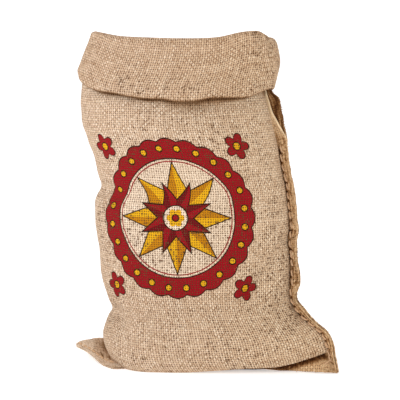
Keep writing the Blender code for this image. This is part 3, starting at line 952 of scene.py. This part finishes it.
def makeAllowance(stations, materials):
    steps, inner, outer, face, uvIn, uvOut = stations
    across = np.linspace(0, 1, allowance["across"] + 1)
    wobble = noiseAlong(steps, 13, 2.5, 0) + 0.6 * noiseAlong(steps, 4.5, 7.5, 0)
    cover = smooth(uvIn[:, 1], *allowance["cover"])
    slipped = ramp(uvIn[:, 1], *allowance["slip"])
    sewn = 1 - slipped
    hanging = ramp(-uvIn[:, 1], *allowance["hang"])
    bm = bmesh.new()
    for side in (1, -1):
        edge = outer + unit(outer - inner) * (wobble * 0.9 + side * 0.35)[:, None]
        edge[:, 2] = np.maximum(edge[:, 2], 0.7)
        if side == 1:
            edge = inner + (edge - inner) * cover[:, None]
        width = np.linalg.norm(edge - inner, axis=1)
        points = np.empty((len(steps), len(across), 3))
        uv = np.empty((len(steps), len(across), 2))
        tones = np.empty((len(steps), len(across)))
        for k, share in enumerate(across):
            lie = inner + (edge - inner) * share
            ripple = noiseAlong(steps, 17, side * 3.0, share * 1.5)
            fine = noiseAlong(steps, 3.4, share * 4.0, side * 5.0)
            streak = noiseAlong(steps, 9.0, share * 5.0, side * 2.0 + 20)
            holes = pinch(steps, share, side) * (1 - hanging)
            cord = allowance["cord"] * hump(share, stitching["place"], 0.17) - 0.45 * hump(share, 0.75, 0.08)
            roll = allowance["roll"] * ramp(share, 0.8, 0.95) * (1 + ripple)
            gap = allowance["gap"] + (cord + roll) * sewn + 0.22 * fine - 0.5 * holes * sewn
            if side == 1:
                gap += slipped * (0.4 + 1.6 * share**3)
            gap = np.maximum(gap, 0.58)
            points[:, k] = lie + face * (side * gap + 0.8 * ripple * share)[:, None]
            points[:, k, 2] = np.maximum(points[:, k, 2], 0.65)
            uv[:, k] = uvIn + (uvOut - uvIn) * share
            uv[:, k, 0] += 0.0 if side == 1 else 3.0
            # painted shade at the root, round the holes and in the groove, with specks and streaks by the
            # twine
            shadeAndStain = 0.5 * np.maximum(streak + 0.25, 0) * hump(share, 0.12, 0.14)
            shadeAndStain = shadeAndStain + 0.35 * holes * (0.8 + 1.5 * streak)
            shadeAndStain += 0.5 * hump(share, 0.74, 0.08) * (0.5 + 1.6 * streak) + 0.35 * ramp(fine, 0.1, 0.45)
            shadeAndStain += (0.22 + 0.6 * ramp(streak, -0.05, 0.35)) * hump(share, 0.28, 0.22)
            shadeAndStain = shadeAndStain * sewn * (1 - hanging)
            # painted shadow under the body's overhang, where the allowance hangs
            shadeAndStain = shadeAndStain + hanging * (1.0 + 0.7 * fine) * (1.0 - ramp(share * width, 2.5, 11.5))
            if side == 1:
                # a painted highlight along the front layer's raised edge where it slips back, and the front
                # layer paler from 260 mm up
                pale = slipped * (1 - ramp((1 - share) * width, 1.1, 2.1))
                tones[:, k] = pale + 0.25 * ramp(uvIn[:, 1], 260, 272) - shadeAndStain
            else:
                # painted shade on the back layer's inner face, where the front layer slips back
                stripe = noiseAlong(steps, 30, share * 10.0, 31)
                tones[:, k] = -shadeAndStain - slipped * (0.72 + 1.2 * stripe)
        gridPatch(bm, points, uv, np.clip(tones, -1, 1))
    return pieceFrom(bm, "seamAllowance", materials, allowance["cloth"])


def thread(bm, path, radii, sides):
    # a round thread along a path, closed to a point at both ends
    path, radii = np.asarray(path, float), np.asarray(radii, float)
    tangent = unit(np.gradient(path, axis=0))
    side = unit(np.cross(tangent[0], (0.31, 0.42, 0.85)))
    ring = np.empty((len(path), sides + 1, 3))
    uv = np.empty((len(path), sides + 1, 2))
    length = lengthAlong(path)
    for j in range(len(path)):
        side = unit(side - tangent[j] * (side @ tangent[j]))
        up = np.cross(tangent[j], side)
        for i in range(sides + 1):
            a = 2 * math.pi * (i % sides) / sides
            ring[j, i] = path[j] + (side * math.cos(a) + up * math.sin(a)) * radii[j]
            uv[j, i] = (i / sides, length[j])
    gridPatch(bm, ring, uv)


def stitch(bm, start, end, face, luck):
    # one length of twine that comes up through the cloth, lies on it and goes down again
    t = np.linspace(0, 1, stitching["points"])
    bow = np.clip(np.sin(np.pi * t) * 1.9, 0, 1)
    lift = -stitching["sink"] + (stitching["sink"] + stitching["rise"]) * bow
    path = start + (end - start) * t[:, None] + face * lift[:, None]
    path[:, 2] = np.maximum(path[:, 2], stitching["radius"] + 0.15)
    radii = stitching["radius"] * luck * np.where((t == 0) | (t == 1), 0.0, 0.82 + 0.18 * bow)
    thread(bm, path, radii, stitching["sides"])


def makeStitches(stations, material):
    steps, inner, outer, face, uvIn, _ = stations
    chance = random.Random(stitching["seed"])
    bm = bmesh.new()
    pitch = stitching["pitch"]

    def spot(s, share, away):
        k = min(int(s / allowance["step"]), len(steps) - 1)
        return inner[k] + (outer[k] - inner[k]) * share + face[k] * away, face[k]

    away = allowance["gap"] + allowance["cloth"] / 2 + 0.75
    bare = allowance["start"] - allowance["cover"][0][1]  # no front layer lies over the first stitches
    for n in range(int(steps[-1] / pitch) - 1):
        for side, shift in ((1, 0.5), (-1, 0.0)):
            s = (n + shift) * pitch
            hangs = uvIn[min(int(s / allowance["step"]), len(steps) - 1), 1] < -allowance["hang"][0]
            if side == 1 and (s < bare or hangs):
                continue
            ends = []
            stray = noise.noise((s / stitching["strayLength"], 1.5, side))
            middle = stitching["place"] + stitching["stray"] * stray
            length = stitching["length"] * chance.uniform(0.86, 1.08)
            for way in (-0.5, 0.5):
                share = middle + way * 0.16 + chance.uniform(-0.05, 0.05)
                ends.append(spot(s + pitch / 2 + way * length, share, side * away))
            thick = chance.uniform(0.88, 1.1) * (1.0 if s < allowance["start"] else stitching["under"])
            stitch(bm, ends[0][0], ends[1][0], unit(ends[0][1] + ends[1][1]) * side, thick)
    return pieceFrom(bm, "sideStitches", [material])


# The left ear, in mm: a flat corner of doubled cloth. Its upper edge is the fold, its lower one is raw.
leftEar = {
    "fold": ((-151, 6, 11.6), (-146, 9, 15.6), (-135, 12, 18.4), (-120, 14, 19), (-100, 12, 17), (-80, 6, 12),
             (-62, 0, 6)),
    "raw": ((-149, 4, 11), (-136.5, -11, 9), (-123.5, -29, 5.4), (-110, -47, 2.2), (-97, -59, 1.2),
            (-85, -56, 1.2), (-68, -46, 1.2)),
    "thick": (3.2, 3.8, 4.2, 4.4, 4.4, 4.2, 4.2),
    "root": (3.6, 0.35, 1.65),  # how far in it goes, at the fold, and how much further towards the raw edge
    "rows": 60,
    "across": 16,
    "seam": 10.5,
    "cloth": 1.2,
    "spacing": 19,  # cloth between two of the points above
    "flat": (-20, 250),  # its place in the flat cloth
    "pocketShade": (0.9, 3.45, 0.6, 0.38, 0.22),  # painted shadow in the pocket by the wall: tone, place and length from the tip, place and width across
}


def earPoint(t, share, layer):
    # t runs from the tip to the root, share from the fold to the raw edge; layer 1 lies above, -1 below
    keys = np.arange(len(leftEar["thick"]))
    fold, raw = (np.array([smooth(t, keys, c) for c in zip(*leftEar[k])]) for k in ("fold", "raw"))
    thick = smooth(t, keys, leftEar["thick"])
    sewn = max(0.12, 1 - leftEar["seam"] / np.linalg.norm(raw - fold))
    middle = fold + (raw - fold) * share
    half = leftEar["cloth"] / 2
    flatGap = half + 0.05
    puff = max(0.0, thick / 2 - flatGap)
    if share < sewn:
        part = share / sewn
        gap = flatGap * min(1, (part * 5) ** 0.5) + puff * max(0.0, 1 - (2 * part - 1) ** 2) ** 0.5
    else:
        gap = flatGap + 0.55 * ((share - sewn) / (1 - sewn)) ** 2
    swell = noise.noise((middle[0] / 17, middle[1] / 17, 5.0))
    fine = noise.noise((middle[0] / 6, middle[1] / 6, 9.0))
    middle[2] += (1.6 * swell + 0.5 * fine) * ramp(t, 0.2, 1.2) * (1 - 0.6 * share)
    middle[2] = max(middle[2], half + gap)
    point = middle + (0, 0, layer * gap)
    point[2] = max(point[2], half)
    return point, sewn


def makeLeftEar(material):
    rows, across, spacing = leftEar["rows"], leftEar["across"], leftEar["spacing"]
    shares = np.concatenate([np.linspace(1, 0, across + 1), np.linspace(0, 1, across + 1)[1:]])
    points = np.empty((rows + 1, len(shares), 3))
    uv = np.empty((rows + 1, len(shares), 2))
    tones = np.zeros((rows + 1, len(shares)))
    deep, least, curve = leftEar["root"]
    dark, place, length, side, width = leftEar["pocketShade"]
    for k, share in enumerate(shares):
        layer = 1 if k <= across else -1
        for j in range(rows + 1):
            t = (deep + least * share + curve * share**3) * j / rows
            point = earPoint(t, share, layer)[0]
            if share == 1:
                point[:2] += np.array((-0.5, -0.8)) * noise.noise((t * 7, layer, 0.5))
            points[j, k] = point
            uv[j, k] = (layer * share * t * spacing, (1 - share) * t * spacing)
            uv[j, k] += leftEar["flat"]
            # a paler band by the raw edge, painted shade in the stitches' groove, a paler tip, dark specks,
            # and the painted shadow by the wall
            speck = noise.noise((point[0] / 2.6, point[1] / 2.6, 3.0))
            tones[j, k] = 0.25 * hump(share, 0.93, 0.07) - 0.5 * hump(share, 0.74, 0.05) * (0.6 + speck)
            tones[j, k] += 0.25 * (1 - ramp(t, 1.6, 2.6)) - 0.9 * max(0.0, speck - 0.22)
            tones[j, k] -= dark * hump(t, place, length) * hump(share, side, width)
    bm = bmesh.new()
    gridPatch(bm, points, uv, np.clip(tones, -1, 1))
    return pieceFrom(bm, "leftEar", [material], leftEar["cloth"])


def makeEarStitches(material):
    chance = random.Random(stitching["seed"] + 1)
    bm = bmesh.new()
    line = []
    for t in np.linspace(0.35, 5.2, 160):
        line.append(earPoint(t, min(0.97, earPoint(t, 0.5, 1)[1]), 1)[0])
    line = np.array(line)
    length = lengthAlong(line)
    s = 1.5
    while s + stitching["earPitch"] < length[-1]:
        ends = []
        for way in (0.0, stitching["earPitch"] - 2.2):
            place = np.array([np.interp(s + way, length, line[:, k]) for k in range(3)])
            ends.append(place + (0, chance.uniform(-0.4, 0.4), 0.3))
        stitch(bm, *ends, np.array((0, 0, 1.0)), chance.uniform(0.75, 0.9))
        s += stitching["earPitch"]
    return pieceFrom(bm, "earStitches", [material])


# Loose ends of yarn at the raw edges, and fibres that stand off the cloth.
fraying = {
    "seed": 5,
    "every": 3.1,
    "length": (1.5, 4.5),
    "radius": 0.42,
    "stop": 110,  # the last of the strip, under the base, has none
    "earEvery": 0.16,
    "earEnd": 5.2,
    "fibres": 420,
    "fibre": (3.0, 9.0),
    "fibreRadius": 0.13,
}


def strand(bm, root, way, length, radius, chance, sides, count=5):
    # a loose end that wanders from its root
    path, way = [root], unit(way)
    for _ in range(count - 1):
        way = unit(way + np.array([chance.uniform(-0.35, 0.35) for _ in range(3)]))
        path.append(path[-1] + way * length / (count - 1))
    path = np.array(path)
    path[:, 2] = np.maximum(path[:, 2], 0.5)
    radii = radius * np.linspace(1, 0.35, count)
    radii[0] = radii[-1] = 0.0
    thread(bm, path, radii, sides)


def makeFrays(stations, material):
    steps, inner, outer, face, _, _ = stations
    chance = random.Random(fraying["seed"])
    bm = bmesh.new()
    s = 2.0
    while s < steps[-1] - fraying["stop"]:
        k = int(s / allowance["step"])
        way = unit(outer[k] - inner[k])
        side = chance.choice((1, -1))
        root = outer[k] - way * 1.2 + face[k] * side * 0.9
        length = chance.uniform(*fraying["length"])
        strand(bm, root, way + face[k] * side * 0.2, length, fraying["radius"], chance, 5)
        s += fraying["every"] * chance.uniform(0.4, 1.8)
    t = 0.3
    while t < fraying["earEnd"]:
        edge, beside = earPoint(t, 1.0, 1)[0], earPoint(t, 0.9, 1)[0]
        way = unit(edge - beside)
        strand(bm, edge - way * 1.2, way, chance.uniform(*fraying["length"]), fraying["radius"], chance, 5)
        t += fraying["earEvery"] * chance.uniform(0.4, 1.8)
    return pieceFrom(bm, "frayedYarns", [material])


def makeFibres(rows, material):
    chance = random.Random(fraying["seed"] + 3)
    bm = bmesh.new()
    first = sack["baseRows"] + 4
    last = rows.shape[0] - sack["tuckRows"] - sack["turnRows"] - 4
    for _ in range(fraying["fibres"]):
        j, i = chance.randint(first, last), chance.randint(1, sack["columns"] - 2)
        root = rows[j, i]
        out = unit(np.cross(rows[j, i + 1] - rows[j, i - 1], rows[j + 1, i] - rows[j - 1, i]))
        drift = np.array([chance.uniform(-1, 1) for _ in range(3)])
        way = unit(out * 0.5 + drift * 0.8)
        if way @ out < 0.15:
            way = unit(way + out * 0.6)
        length = chance.uniform(*fraying["fibre"])
        strand(bm, root + out * 0.5, way, length, fraying["fibreRadius"], chance, 3)
    return pieceFrom(bm, "looseFibres", [material])


makeCamera()
makeStudio()
outerCloth = burlap("printed burlap", folkStar)
innerCloth = burlap("plain burlap inside", None, (0.90, 0.86, 0.82))
edgeCloth = burlap("plain burlap", None, (1.0, 0.95, 0.89), 0.02)
stripCloth = burlap("burlap of the seam", None, (0.97, 0.88, 0.74), 0.05)
jute = twine("jute twine")
print("materials are made")

rows, uv, heights, tones = sackSurface()
bm = bmesh.new()
gridPatch(bm, rows, uv, tones)
sewnUp(bm)
turnedIn = sum(face.normal.y * face.calc_center_median().y for face in bm.faces) < 0
if turnedIn:
    bmesh.ops.reverse_faces(bm, faces=bm.faces)
cloth = pieceFrom(bm, "sackCloth", [outerCloth, innerCloth], sack["cloth"], 1)

stations = seamStations(seamPath(rows, heights))
strip = makeAllowance(stations, [stripCloth])
sideStitches = makeStitches(stations, jute)
corner = makeLeftEar(edgeCloth)
earStitches = makeEarStitches(jute)
frays = makeFrays(stations, jute)
fibres = makeFibres(rows, jute)
